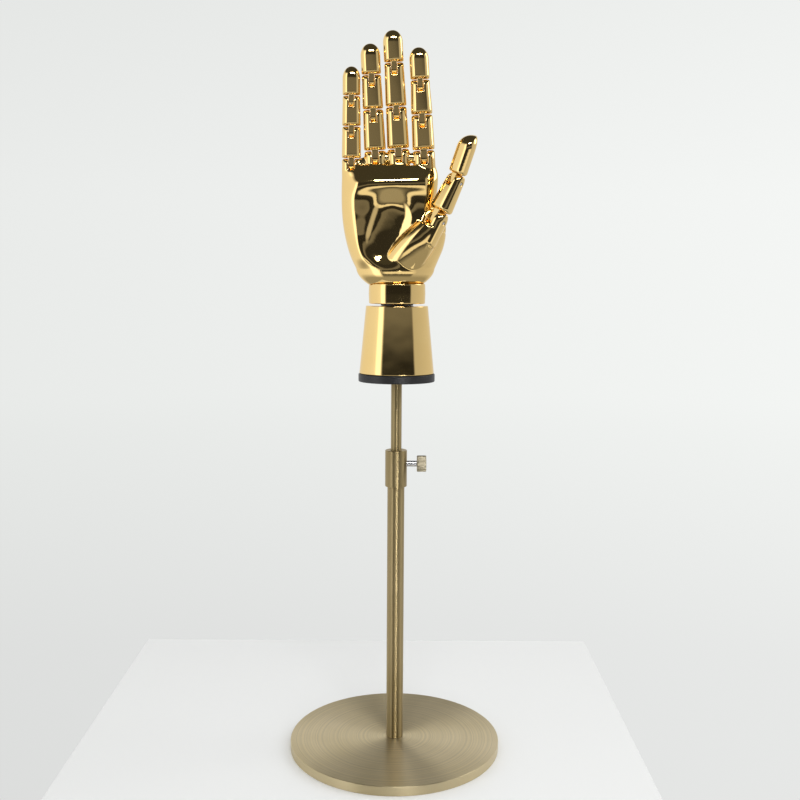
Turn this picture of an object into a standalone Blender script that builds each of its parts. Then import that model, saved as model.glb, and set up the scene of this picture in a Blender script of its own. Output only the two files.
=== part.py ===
# Jewelry display hand on a height-adjustable brass stand.
# Metres, +Z up. The origin is the centre of the disc's underside, the palm faces -Y
# and the thumb is on the +X side.

import math

import bmesh
import bpy
from mathutils import Matrix, Vector

for old_object in list(bpy.data.objects):
    bpy.data.objects.remove(old_object, do_unlink=True)

# Clearances
SEAT = 0.0003                 # between pieces that rest on or in each other
KNUCKLE_GAP = 0.0004          # between the ends of two phalanges
DISH_GAP = 0.0005             # between the palm's heel and the dished ring

# Disc foot
BASE_DIAMETER = 0.200
BASE_THICKNESS = 0.009
BASE_CHAMFER = 0.0008
BASE_SEGMENTS = 72
SCREW_HEAD_DIAMETER = 0.015
SCREW_HEAD_HEIGHT = 0.0045
SCREW_HEAD_RECESS = 0.0008
BASE_SCREW_DIAMETER = 0.008
SCREW_IN_PLUG = 0.0128

# Post
TUBE_DIAMETER = 0.016
TUBE_WALL = 0.0015
TUBE_LENGTH = 0.259
PLUG_HEIGHT = 0.016
ROUND_SEGMENTS = 24

# Collar and clamp screw
COLLAR_WALL = 0.0019
COLLAR_LENGTH = 0.0342
COLLAR_OVER_TUBE = 0.0129
COLLAR_CHAMFER = 0.0005
CLAMP_BELOW_COLLAR_TOP = 0.0128
CLAMP_SHANK_DIAMETER = 0.0056
CLAMP_SHANK_SHOWN = 0.0092
KNOB_DIAMETER = 0.0152
KNOB_LENGTH = 0.0088
KNOB_SOCKET = 0.006
KNURL_RIDGES = 24
KNURL_DEPTH = 0.0004

# Rod
ROD_DIAMETER = 0.010
ROD_SHOWN = 0.0646            # from the collar's top to the cap's underside
ROD_IN_POST = 0.190           # from the collar's top down to the rod's lower end
ROD_SPIGOT_DIAMETER = 0.008
ROD_SPIGOT_LENGTH = 0.016
BUSH_HEIGHT = 0.020
BUSH_FLOOR = 0.002

# Cap and cuff, oval
OVAL_RATIO = 0.78             # depth over width
CAP_WIDTH = 0.0706
CAP_HEIGHT = 0.0073
CAP_PLUG_HEIGHT = 0.005
BOSS_DIAMETER = 0.022
BOSS_HEIGHT = 0.030
INSERT_DIAMETER = 0.014
INSERT_FLANGE = 0.0014
CUFF_BOTTOM_WIDTH = 0.0690
CUFF_TOP_WIDTH = 0.0570
CUFF_HEIGHT = 0.0622
CUFF_WALL = 0.003
CUFF_ROOF = 0.004
OVAL_SEGMENTS = 36

# Wrist
WASHER_DIAMETER = 0.030
WASHER_THICKNESS = 0.0013
RING_WIDTH = 0.0515
RING_HEIGHT = 0.0182
RING_BARREL = 0.0006          # how far the ring swells at mid height
STUD_DIAMETER = 0.008
STUD_NUT_DIAMETER = 0.014
STUD_NUT_HEIGHT = 0.005
STUD_EYE_RADIUS = 0.0065
STUD_EYE_THICKNESS = 0.009
WRIST_PIN_RISE = 0.0132       # from the ring's top to the wrist pin
WRIST_PIN_DIAMETER = 0.004
WRIST_PIN_LENGTH = 0.044
WRIST_SWING = math.radians(26)

# Palm
HEEL_DEPTH = 0.0220           # radius of the palm's round heel about the wrist pin
HEEL_POWER = 1.7
PALM_POWER = 2.5
# height above the wrist pin, left reach, right reach, front depth, back depth
PALM_STATIONS = (
    (0.0000, 0.0374, 0.0340, 0.0220, 0.0220),
    (0.0090, 0.0418, 0.0378, 0.0215, 0.0205),
    (0.0190, 0.0452, 0.0418, 0.0200, 0.0185),
    (0.0310, 0.0480, 0.0440, 0.0176, 0.0165),
    (0.0420, 0.0497, 0.0430, 0.0162, 0.0152),
    (0.0500, 0.0504, 0.0350, 0.0154, 0.0146),
    (0.0570, 0.0507, 0.0332, 0.0148, 0.0141),
    (0.0670, 0.0508, 0.0352, 0.0142, 0.0136),
    (0.0780, 0.0506, 0.0364, 0.0136, 0.0130),
    (0.0860, 0.0500, 0.0360, 0.0116, 0.0116),
    (0.0925, 0.0480, 0.0338, 0.0080, 0.0085),
)
# swellings of the palm's face: from (x, height), to (x, height), width, rise, sharpness
PALM_SWELLS = (
    ((-0.036, 0.010), (-0.040, 0.066), 0.0100, 0.0030, 2),
    ((-0.034, 0.0745), (0.024, 0.0765), 0.0080, 0.0030, 2),
    ((-0.013, 0.022), (-0.005, 0.048), 0.0165, -0.0060, 4),
)
PALM_COLUMNS = 16
# thenar mound: its stations from the heel to the thumb, as shares of the way, with the
# half width and half depth of each
THENAR_FOOT = (0.001, -0.0110, 0.001)
THENAR_STATIONS = (
    (0.00, 0.0150, 0.0085),
    (0.12, 0.0162, 0.0107),
    (0.30, 0.0166, 0.0128),
    (0.50, 0.0158, 0.0138),
    (0.70, 0.0140, 0.0130),
    (0.86, 0.0122, 0.0116),
)
THENAR_COLUMNS = 10
WEB_RADIUS = 0.0045           # between the lugs of two fingers
PALM_HEEL_ROWS = 4
HEEL_BLEND_STATIONS = 3       # stations over which the heel's section becomes the palm's
LUG_ROOT = 0.022              # how far a finger's lug reaches down into the palm

# Hinges
PIN_DIAMETER = 0.0024
PIN_INSET = 0.0006
TONGUE_SHARE = 0.30           # tongue thickness over the knuckle's width
TONGUE_RADIUS_SHARE = 0.64    # tongue radius over the knuckle's radius
FINGER_DEPTH_RATIO = 0.74     # finger depth over its width
FINGER_POWER = 2.3            # squareness of a finger's section
END_POWER = 9.0               # squareness of a finger's ends, seen from the front
FINGER_COLUMNS = 8
END_ROWS = 4
FOOT_ROUND_SHARE = 0.40       # rounding of a phalanx's foot over the knuckle's radius
TONGUE_STEPS = 12
TIP_ROWS = 5

# Fingers, from the little finger's side. Widths are those of the three knuckles,
# lengths run from groove to groove and to the tip, and lean is to the -X side.
FINGERS = (
    {"name": "little", "gap": 0.0, "height": 0.0986, "lean": 0.0,
     "widths": (0.0174, 0.0168, 0.0160), "lengths": (0.0283, 0.0267, 0.0256)},
    {"name": "ring", "gap": 0.0026, "height": 0.1056, "lean": 3.0,
     "widths": (0.0198, 0.0186, 0.0176), "lengths": (0.0362, 0.0302, 0.0271)},
    {"name": "middle", "gap": 0.0010, "height": 0.1074, "lean": 3.3,
     "widths": (0.0200, 0.0190, 0.0177), "lengths": (0.0370, 0.0383, 0.0281)},
    {"name": "index", "gap": 0.0027, "height": 0.1063, "lean": 3.5,
     "widths": (0.0202, 0.0193, 0.0174), "lengths": (0.0313, 0.0304, 0.0282)},
)
FINGER_ROW_LEFT = -0.0505     # left side of the little finger's knuckle
TIP_DOME = 0.011
TIP_SHIFT = 0.0015            # how far the fingertip leans to its nail side

# Thumb: groove between palm and thumb, lean to +X, turn of its hinges about itself
THUMB_X = 0.0378
THUMB_Y = -0.0165
THUMB_HEIGHT = 0.0512
THUMB_LEAN = math.radians(26)
THUMB_TURN = math.radians(-45)
THUMB_BEND = math.radians(11)
THUMB_WIDTHS = (0.0226, 0.0184)
THUMB_LENGTHS = (0.0360, 0.0365)
THUMB_DOME = 0.013
THUMB_TIP_SHIFT = 0.0072
THUMB_ROOT = 0.024

# Heights worked out from the sizes above
TUBE_FOOT = BASE_THICKNESS + SEAT
TUBE_TOP = TUBE_FOOT + TUBE_LENGTH
COLLAR_FOOT = TUBE_TOP - COLLAR_OVER_TUBE
COLLAR_TOP = COLLAR_FOOT + COLLAR_LENGTH
CLAMP_HEIGHT = COLLAR_TOP - CLAMP_BELOW_COLLAR_TOP
CAP_FOOT = COLLAR_TOP + ROD_SHOWN
CUFF_FOOT = CAP_FOOT + CAP_HEIGHT + SEAT
CUFF_TOP = CUFF_FOOT + CUFF_HEIGHT
RING_FOOT = CUFF_TOP + WASHER_THICKNESS + 2 * SEAT
RING_TOP = RING_FOOT + RING_HEIGHT
WRIST = RING_TOP + WRIST_PIN_RISE

BRASS = ("brushed_brass", (0.56, 0.47, 0.30), 1.0, 0.32)
GOLD = ("gold_plating", (0.90, 0.66, 0.30), 1.0, 0.08)
STEEL = ("bright_steel", (0.62, 0.62, 0.64), 1.0, 0.25)
BLACK = ("black_plastic", (0.012, 0.012, 0.014), 0.0, 0.45)
NYLON = ("white_nylon", (0.80, 0.80, 0.78), 0.0, 0.50)


def material(finish):
    """The Principled material of one finish: name, colour, metallic, roughness."""
    name, colour, metallic, roughness = finish
    found = bpy.data.materials.get(name)
    if found:
        return found
    made = bpy.data.materials.new(name)
    made.use_nodes = True
    shader = made.node_tree.nodes["Principled BSDF"]
    shader.inputs["Base Color"].default_value = (*colour, 1.0)
    shader.inputs["Metallic"].default_value = metallic
    shader.inputs["Roughness"].default_value = roughness
    return made


def object_from(name, mesh_data, finish, place=None):
    """A named object of a bmesh, smooth where it is round, placed by a matrix."""
    mesh = bpy.data.meshes.new(name)
    bmesh.ops.recalc_face_normals(mesh_data, faces=mesh_data.faces)
    mesh_data.to_mesh(mesh)
    mesh_data.free()
    mesh.shade_smooth()
    mesh.set_sharp_from_angle(angle=math.radians(35))
    mesh.materials.append(material(finish))
    made = bpy.data.objects.new(name, mesh)
    bpy.context.collection.objects.link(made)
    if place is not None:
        made.matrix_world = place
    return made


def cutter_from(name, mesh_data, place=None):
    """A hidden body that cuts or joins another."""
    made = object_from(name, mesh_data, STEEL, place)
    made.hide_render = True
    made.display_type = "WIRE"
    return made


def combine(target, tools, operation):
    """Cuts several bodies from a target at once, or joins them to it."""
    group = bpy.data.collections.new(tools[0].name)
    for tool in tools:
        group.objects.link(tool)
    step = target.modifiers.new(tools[0].name, "BOOLEAN")
    step.operation = operation
    step.operand_type = "COLLECTION"
    step.collection = group
    step.solver = "EXACT"


def turned(profile, segments, axis_matrix=None):
    """A closed turned body: the profile's points go up the outside.

    A point is (radius, height), or (radius, height, ratio) where the section is an
    oval, squeezed along Y by the ratio."""
    body = bmesh.new()
    rings = []
    for radius, height, *squeeze in profile:
        ratio = squeeze[0] if squeeze else 1.0
        if radius == 0.0:
            rings.append([body.verts.new((0.0, 0.0, height))])
            continue
        ring = []
        for step in range(segments):
            angle = 2 * math.pi * (step + 0.5) / segments
            ring.append(body.verts.new((radius * math.cos(angle),
                                        radius * ratio * math.sin(angle), height)))
        rings.append(ring)
    closed = rings[0][0].co.x != 0.0 or len(rings[0]) > 1
    pairs = list(zip(rings, rings[1:]))
    if closed:
        pairs.append((rings[-1], rings[0]))
    for lower, upper in pairs:
        for step in range(segments):
            after = (step + 1) % segments
            corners = [lower[step % len(lower)], lower[after % len(lower)],
                       upper[after % len(upper)], upper[step % len(upper)]]
            body.faces.new(list(dict.fromkeys(corners)))
    if axis_matrix is not None:
        bmesh.ops.transform(body, matrix=axis_matrix, verts=body.verts)
    return body


def solid_profile(points):
    """Closes a turned profile on the axis at both ends."""
    return [(0.0, points[0][1])] + list(points) + [(0.0, points[-1][1])]


def rod_along_x(radius, start, end, segments=12):
    """A cylinder about the X axis between two places on it."""
    to_x = Matrix.Rotation(math.radians(90), 4, "Y")
    profile = solid_profile([(radius, start), (radius, end)])
    return turned(profile, segments, to_x)


def block(low, high):
    """A box between two corners."""
    body = bmesh.new()
    bmesh.ops.create_cube(body, size=1.0)
    for vertex in body.verts:
        vertex.co = Vector((low[axis] if vertex.co[axis] < 0 else high[axis] for axis in range(3)))
    return body


def upright(height, x=0.0, y=0.0):
    """The place of a piece that stands straight."""
    return Matrix.Translation((x, y, height))


# Disc foot, with its screw and the plug that the screw pulls down
def make_foot():
    radius = BASE_DIAMETER / 2
    recess = SCREW_HEAD_HEIGHT + SCREW_HEAD_RECESS
    hole = BASE_SCREW_DIAMETER / 2 + SEAT
    pocket = SCREW_HEAD_DIAMETER / 2 + SEAT
    profile = [(pocket, 0.0), (radius - BASE_CHAMFER, 0.0), (radius, BASE_CHAMFER),
               (radius, BASE_THICKNESS - BASE_CHAMFER),
               (radius - BASE_CHAMFER, BASE_THICKNESS), (hole, BASE_THICKNESS),
               (hole, recess), (pocket, recess)]
    object_from("base_plate", turned(profile, BASE_SEGMENTS), BRASS)

    head = SCREW_HEAD_DIAMETER / 2
    shank = BASE_SCREW_DIAMETER / 2
    head_top = recess - SEAT
    tip = TUBE_FOOT + SCREW_IN_PLUG
    screw = solid_profile([(head, head_top - SCREW_HEAD_HEIGHT), (head, head_top),
                           (shank, head_top), (shank, tip)])
    object_from("base_screw", turned(screw, ROUND_SEGMENTS), STEEL)

    bore = shank + SEAT
    outside = TUBE_DIAMETER / 2 - TUBE_WALL - SEAT
    plug = [(bore, TUBE_FOOT), (outside, TUBE_FOOT), (outside, TUBE_FOOT + PLUG_HEIGHT),
            (bore, TUBE_FOOT + PLUG_HEIGHT)]
    object_from("foot_plug", turned(plug, ROUND_SEGMENTS), STEEL)


# Post: the outer tube with the collar over its upper end
def make_post():
    outside = TUBE_DIAMETER / 2
    inside = outside - TUBE_WALL
    tube = [(inside, TUBE_FOOT), (outside, TUBE_FOOT), (outside, TUBE_TOP), (inside, TUBE_TOP)]
    object_from("outer_tube", turned(tube, ROUND_SEGMENTS), BRASS)

    collar = COLLAR_WALL + outside + SEAT
    tube_bore = outside + SEAT
    rod_bore = ROD_DIAMETER / 2 + SEAT
    ledge = TUBE_TOP + SEAT
    profile = [(tube_bore, COLLAR_FOOT), (collar - COLLAR_CHAMFER, COLLAR_FOOT),
               (collar, COLLAR_FOOT + COLLAR_CHAMFER), (collar, COLLAR_TOP - COLLAR_CHAMFER),
               (collar - COLLAR_CHAMFER, COLLAR_TOP), (rod_bore, COLLAR_TOP),
               (rod_bore, ledge), (tube_bore, ledge)]
    piece = object_from("collar", turned(profile, ROUND_SEGMENTS), BRASS)
    hole = rod_along_x(CLAMP_SHANK_DIAMETER / 2 + SEAT, 0.0, 2 * collar)
    combine(piece, [cutter_from("collar_hole", hole, upright(CLAMP_HEIGHT))], "DIFFERENCE")
    return collar


# Clamp screw: a steel shank in a knurled brass head, along +X
def make_clamp(collar_radius):
    start = ROD_DIAMETER / 2 + SEAT
    knob_foot = collar_radius + CLAMP_SHANK_SHOWN
    socket_end = knob_foot + KNOB_SOCKET
    shank = rod_along_x(CLAMP_SHANK_DIAMETER / 2, start, socket_end - SEAT)
    object_from("clamp_shank", shank, STEEL, upright(CLAMP_HEIGHT))

    body = bmesh.new()
    rings = []
    outer = KNOB_DIAMETER / 2
    bore = CLAMP_SHANK_DIAMETER / 2 + SEAT
    knob_end = knob_foot + KNOB_LENGTH
    plain = outer - 2 * KNURL_DEPTH
    levels = [(bore, knob_foot, 0.0), (plain, knob_foot, 0.0),
              (outer, knob_foot + 2 * KNURL_DEPTH, KNURL_DEPTH),
              (outer, knob_end - 2 * KNURL_DEPTH, KNURL_DEPTH), (plain, knob_end, 0.0)]
    count = 2 * KNURL_RIDGES
    for radius, x, notch in levels:
        ring = []
        for step in range(count):
            angle = 2 * math.pi * step / count
            reach = radius - notch * (step % 2)
            ring.append(body.verts.new((x, reach * math.cos(angle), reach * math.sin(angle))))
        rings.append(ring)
    floor = [body.verts.new((socket_end, bore * math.cos(2 * math.pi * step / count),
                             bore * math.sin(2 * math.pi * step / count)))
             for step in range(count)]
    rings.insert(0, floor)
    for lower, upper in zip(rings, rings[1:]):
        for step in range(count):
            after = (step + 1) % count
            body.faces.new((lower[step], lower[after], upper[after], upper[step]))
    body.faces.new(rings[-1])
    body.faces.new(list(reversed(rings[0])))
    object_from("clamp_knob", body, BRASS, upright(CLAMP_HEIGHT))


# Rod, its guide bush below and the insert that holds it in the cap above
def make_rod():
    radius = ROD_DIAMETER / 2
    foot = COLLAR_TOP - ROD_IN_POST
    shoulder = CAP_FOOT + CAP_HEIGHT + CAP_PLUG_HEIGHT
    spigot = ROD_SPIGOT_DIAMETER / 2
    rod = solid_profile([(radius, foot), (radius, shoulder - SEAT), (spigot, shoulder - SEAT),
                         (spigot, shoulder + ROD_SPIGOT_LENGTH)])
    object_from("inner_rod", turned(rod, ROUND_SEGMENTS), BRASS)

    outside = TUBE_DIAMETER / 2 - TUBE_WALL - SEAT
    bore = radius + SEAT
    cup_foot = foot - SEAT - BUSH_FLOOR
    cup = [(0.0, cup_foot), (outside, cup_foot), (outside, cup_foot + BUSH_HEIGHT),
           (bore, cup_foot + BUSH_HEIGHT), (bore, foot - SEAT), (0.0, foot - SEAT)]
    object_from("rod_bush", turned(cup, ROUND_SEGMENTS), NYLON)

    insert = INSERT_DIAMETER / 2 - SEAT
    thread = spigot + SEAT
    top = CAP_FOOT + BOSS_HEIGHT + SEAT
    flange = INSERT_DIAMETER / 2 + INSERT_FLANGE
    sleeve = [(thread, shoulder + SEAT), (insert, shoulder + SEAT), (insert, top),
              (flange, top), (flange, top + INSERT_FLANGE), (thread, top + INSERT_FLANGE)]
    object_from("cap_insert", turned(sleeve, ROUND_SEGMENTS), STEEL)
    return shoulder


# Black cap with its plug and boss, and the tapered cuff that stands on it
def make_cuff(shoulder):
    inner_foot = CUFF_BOTTOM_WIDTH / 2 - CUFF_WALL
    slope = (CUFF_BOTTOM_WIDTH - CUFF_TOP_WIDTH) / 2 / CUFF_HEIGHT
    outer = CAP_WIDTH / 2
    plug = inner_foot - slope * CAP_PLUG_HEIGHT - 2 * SEAT
    rim_top = CAP_FOOT + CAP_HEIGHT
    plug_top = rim_top + CAP_PLUG_HEIGHT
    boss = BOSS_DIAMETER / 2
    boss_top = CAP_FOOT + BOSS_HEIGHT
    rod_bore = ROD_DIAMETER / 2 + SEAT
    insert_bore = INSERT_DIAMETER / 2
    cap = [(rod_bore, CAP_FOOT), (outer, CAP_FOOT, OVAL_RATIO), (outer, rim_top, OVAL_RATIO),
           (plug, rim_top, OVAL_RATIO), (plug, plug_top, OVAL_RATIO), (boss, plug_top),
           (boss, boss_top), (insert_bore, boss_top), (insert_bore, shoulder),
           (rod_bore, shoulder)]
    object_from("cuff_cap", turned(cap, OVAL_SEGMENTS), BLACK)

    roof = CUFF_TOP - CUFF_ROOF
    inner_head = CUFF_TOP_WIDTH / 2 + slope * CUFF_ROOF - CUFF_WALL
    hole = STUD_DIAMETER / 2 + SEAT
    cuff = [(inner_foot, CUFF_FOOT, OVAL_RATIO), (CUFF_BOTTOM_WIDTH / 2, CUFF_FOOT, OVAL_RATIO),
            (CUFF_TOP_WIDTH / 2, CUFF_TOP, OVAL_RATIO), (hole, CUFF_TOP), (hole, roof),
            (inner_head, roof, OVAL_RATIO)]
    object_from("cuff", turned(cuff, OVAL_SEGMENTS), GOLD)


def section(columns, power, end_power=None):
    """Shares (across, depth, end) from the +X side over the front to the -X side.

    The end is the share of the rounding's reach where a bar ends here."""
    shares = []
    for step in range(columns + 1):
        angle = math.pi * step / columns
        across = math.copysign(abs(math.cos(angle)) ** (2 / power), math.cos(angle))
        if not 0 < step < columns:
            shares.append((across, 0.0, 0.0))
            continue
        depth = abs(math.sin(angle)) ** (2 / power)
        end = depth
        if end_power:
            end = (1 - abs(across) ** end_power) ** (1 / end_power)
        shares.append((across, depth, end))
    return shares


def loft(rows):
    """Skins closed rings of points into one body and welds what coincides."""
    body = bmesh.new()
    rings = [[body.verts.new(point) for point in row] for row in rows]
    count = len(rings[0])
    for lower, upper in zip(rings, rings[1:]):
        for step in range(count):
            after = (step + 1) % count
            body.faces.new((lower[step], lower[after], upper[after], upper[step]))
    if len({tuple(round(c, 6) for c in v.co) for v in rings[-1]}) > count // 2 + 1:
        body.faces.new(rings[-1])
    if len({tuple(round(c, 6) for c in v.co) for v in rings[0]}) > count // 2 + 1:
        body.faces.new(list(reversed(rings[0])))
    bmesh.ops.remove_doubles(body, verts=body.verts, dist=1e-6)
    bmesh.ops.dissolve_degenerate(body, dist=1e-6, edges=body.edges)
    return body


def round_row(height, lift, half_width, half_depth, power, columns, middle=0.0, shift=0.0,
              end_power=None, rounding=None):
    """One ring of a bar, turned by the lift angle about the X axis at this height.

    The rounding is how far the end reaches out: the half depth where it isn't given."""
    shares = section(columns, power, end_power)
    reach = half_depth if rounding is None else rounding
    row = []
    for side, walk in ((-1, shares), (1, list(reversed(shares))[1:-1])):
        for across, depth, end in walk:
            row.append((middle + half_width * across,
                        shift + side * half_depth * depth * math.cos(lift),
                        height + reach * end * math.sin(lift)))
    return row


def foot_rows(foot, size):
    """The lower end of a finger's bar, from its lowest point up to its full section."""
    rounding = size[1] * FOOT_ROUND_SHARE
    return [round_row(foot + rounding, math.radians(-90 + 90 * step / END_ROWS), *size,
                      FINGER_POWER, FINGER_COLUMNS, end_power=END_POWER, rounding=rounding)
            for step in range(END_ROWS + 1)]


def knuckled_bar(foot, foot_size, head, head_size):
    """A bar from its lowest point to the axis of its upper knuckle. The head is round
    about the X axis and the foot is flatter. A size is (half width, half depth)."""
    rows = foot_rows(foot, foot_size)
    for step in range(END_ROWS + 1):
        lift = math.radians(90 * step / END_ROWS)
        rows.append(round_row(head, lift, *head_size, FINGER_POWER, FINGER_COLUMNS,
                              end_power=END_POWER))
    return loft(rows)


def tip_bar(foot, size, top, dome, shift):
    """A last phalanx: a foot, then a dome that leans to the nail's side."""
    half_width, half_depth = size
    rows = foot_rows(foot, size)
    for step in range(TIP_ROWS):
        rise = math.radians(90 * (step + 0.12) / (TIP_ROWS + 0.12))
        keep = math.cos(rise)
        power = 2.0 + (FINGER_POWER - 2.0) * keep
        rows.append(round_row(top - dome + dome * math.sin(rise), 0.0, half_width * keep,
                              half_depth * keep, power, FINGER_COLUMNS,
                              shift=shift * (1 - keep)))
    tip = [(0.0, shift, top)] * (2 * FINGER_COLUMNS)
    rows.append(tip)
    return loft(rows)


def tongue_plate(thickness, radius, top):
    """The flat tongue below a phalanx, round about its pin, in the YZ plane."""
    body = bmesh.new()
    outline = [(-radius, top), (radius, top)]
    for step in range(TONGUE_STEPS + 1):
        angle = -math.pi * step / TONGUE_STEPS
        outline.append((radius * math.cos(angle), radius * math.sin(angle)))
    near = [body.verts.new((-thickness / 2, y, z)) for y, z in outline]
    far = [body.verts.new((thickness / 2, y, z)) for y, z in outline]
    body.faces.new(near)
    body.faces.new(list(reversed(far)))
    count = len(outline)
    for step in range(count):
        after = (step + 1) % count
        body.faces.new((near[after], near[step], far[step], far[after]))
    return body


class Knuckle:
    """The sizes that the two sides of one hinge share."""

    def __init__(self, width, depth_ratio=FINGER_DEPTH_RATIO):
        self.half_width = width / 2
        self.radius = width * depth_ratio / 2
        self.tongue = width * TONGUE_SHARE
        self.tongue_radius = self.radius * TONGUE_RADIUS_SHARE
        self.size = (self.half_width, self.radius)


def fork_cutters(name, knuckle, place):
    """The slot and the pin's hole in the upper end of a piece."""
    half_slot = knuckle.tongue / 2 + SEAT
    beyond = 2 * knuckle.radius
    slot = block((-half_slot, -beyond, -knuckle.tongue_radius - SEAT),
                 (half_slot, beyond, beyond))
    through = knuckle.half_width + SEAT
    hole = rod_along_x(PIN_DIAMETER / 2 + SEAT, -through, through)
    return [cutter_from(name + "_slot", slot, place),
            cutter_from(name + "_pin_hole", hole, place)]


def add_tongue(piece, name, knuckle, place):
    """Joins the tongue to the lower end of a phalanx; gives the cutter of its hole."""
    top = 2 * knuckle.radius + KNUCKLE_GAP
    plate = tongue_plate(knuckle.tongue, knuckle.tongue_radius, top)
    combine(piece, [cutter_from(name + "_tongue", plate, place)], "UNION")
    through = knuckle.half_width
    hole = rod_along_x(PIN_DIAMETER / 2 + SEAT, -through, through)
    return cutter_from(name + "_tongue_hole", hole, place)


def make_pin(name, knuckle, place):
    """The hinge pin, flush between the outer sides of its fork."""
    reach = knuckle.half_width - PIN_INSET
    pin = rod_along_x(PIN_DIAMETER / 2, -reach, reach)
    object_from(name, pin, STEEL, place)


def make_phalanx(name, lower, upper, length, place):
    """A phalanx between two knuckles, its origin on the lower pin."""
    foot = lower.radius + KNUCKLE_GAP
    body = knuckled_bar(foot, lower.size, length, upper.size)
    piece = object_from(name, body, GOLD, place)
    tongue_hole = add_tongue(piece, name, lower, place)
    head = place @ upright(length)
    combine(piece, [tongue_hole] + fork_cutters(name, upper, head), "DIFFERENCE")
    make_pin(name + "_pin", upper, head)
    return head


def make_tip(name, lower, length, dome, shift, place):
    """The last phalanx of a finger, its origin on its pin."""
    foot = lower.radius + KNUCKLE_GAP
    piece = object_from(name, tip_bar(foot, lower.size, length, dome, shift), GOLD, place)
    combine(piece, [add_tongue(piece, name, lower, place)], "DIFFERENCE")


def groove_drop(knuckle):
    """From the groove between two pieces down to the pin of their hinge."""
    return knuckle.radius + KNUCKLE_GAP / 2


def finger_places():
    """Where each finger's first pin is, and the sizes of its knuckles."""
    places = []
    edge = FINGER_ROW_LEFT
    for finger in FINGERS:
        knuckles = [Knuckle(width) for width in finger["widths"]]
        centre = edge + finger["gap"] + knuckles[0].half_width
        edge = centre + knuckles[0].half_width
        lean = Matrix.Rotation(-math.radians(finger["lean"]), 4, "Y")
        groove = upright(WRIST + finger["height"], centre) @ lean
        places.append((finger, knuckles, groove @ upright(-groove_drop(knuckles[0]))))
    return places


def thumb_place():
    """Where the thumb's first pin is, and the sizes of its knuckles."""
    knuckles = [Knuckle(width) for width in THUMB_WIDTHS]
    turn = Matrix.Rotation(THUMB_LEAN, 4, "Y") @ Matrix.Rotation(THUMB_TURN, 4, "Z")
    groove = upright(WRIST + THUMB_HEIGHT, THUMB_X, THUMB_Y) @ turn
    return knuckles, groove @ upright(-groove_drop(knuckles[0]))


def swell(x, height):
    """How far the palm's face rises here beyond its plain depth."""
    rise = 0.0
    for start, end, width, amount, sharpness in PALM_SWELLS:
        along = Vector(end) - Vector(start)
        offset = Vector((x, height)) - Vector(start)
        share = max(0.0, min(1.0, offset.dot(along) / along.length_squared))
        distance = (offset - along * share).length
        rise += amount * math.exp(-(distance / width) ** sharpness)
    return rise


def palm_row(station, power):
    """One level ring of the palm at a height above the wrist pin."""
    height, left, right, front, back = station
    middle = (right - left) / 2
    half_width = (right + left) / 2
    shares = section(PALM_COLUMNS, power)
    row = []
    for across, depth, end in shares:
        x = middle + half_width * across
        reach = (front + swell(x, height)) * depth
        row.append((x, -reach, height))
    for across, depth, end in list(reversed(shares))[1:-1]:
        row.append((middle + half_width * across, back * depth, height))
    return row


def heel_rows(extra=0.0, whole=False):
    """The palm's round heel about the wrist pin, or all of that round for a cutter."""
    left, right = PALM_STATIONS[0][1:3]
    middle = (right - left) / 2
    half_width = (right + left) / 2 + extra
    span = 180 if whole else 90
    count = PALM_HEEL_ROWS * span // 90
    steps = range(count + 1) if whole else range(count)
    return [round_row(0.0, math.radians(-90 + span * step / count), half_width,
                      HEEL_DEPTH + extra, HEEL_POWER, PALM_COLUMNS, middle)
            for step in steps]


# Wrist: washer, dished ring, stud with its eye, and the pin in the palm
def make_wrist():
    washer_hole = STUD_DIAMETER / 2 + SEAT
    washer_foot = CUFF_TOP + SEAT
    washer = [(washer_hole, washer_foot), (WASHER_DIAMETER / 2, washer_foot),
              (WASHER_DIAMETER / 2, washer_foot + WASHER_THICKNESS),
              (washer_hole, washer_foot + WASHER_THICKNESS)]
    object_from("wrist_washer", turned(washer, ROUND_SEGMENTS), BLACK)

    outer = RING_WIDTH / 2
    swollen = outer + RING_BARREL
    outline = [(washer_hole, RING_FOOT), (outer, RING_FOOT, OVAL_RATIO),
               (swollen, RING_FOOT + RING_HEIGHT / 2, OVAL_RATIO), (outer, RING_TOP, OVAL_RATIO),
               (washer_hole, RING_TOP)]
    ring = object_from("wrist_ring", turned(outline, OVAL_SEGMENTS), GOLD)
    dish = cutter_from("ring_dish", loft(heel_rows(DISH_GAP, whole=True)), upright(WRIST))
    combine(ring, [dish], "DIFFERENCE")

    nut_top = CUFF_TOP - CUFF_ROOF - SEAT
    stud_radius = STUD_DIAMETER / 2
    nut_radius = STUD_NUT_DIAMETER / 2
    shaft = solid_profile([(nut_radius, nut_top - STUD_NUT_HEIGHT), (nut_radius, nut_top),
                           (stud_radius, nut_top), (stud_radius, WRIST)])
    stud = object_from("wrist_stud", turned(shaft, ROUND_SEGMENTS), STEEL)
    eye = rod_along_x(STUD_EYE_RADIUS, -STUD_EYE_THICKNESS / 2, STUD_EYE_THICKNESS / 2, 20)
    combine(stud, [cutter_from("stud_eye", eye, upright(WRIST))], "UNION")
    pin_hole = rod_along_x(WRIST_PIN_DIAMETER / 2 + SEAT, -STUD_EYE_THICKNESS, STUD_EYE_THICKNESS)
    combine(stud, [cutter_from("stud_pin_hole", pin_hole, upright(WRIST))], "DIFFERENCE")

    reach = WRIST_PIN_LENGTH / 2
    pin = rod_along_x(WRIST_PIN_DIAMETER / 2, -reach, reach)
    object_from("wrist_pin", pin, STEEL, upright(WRIST))


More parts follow.
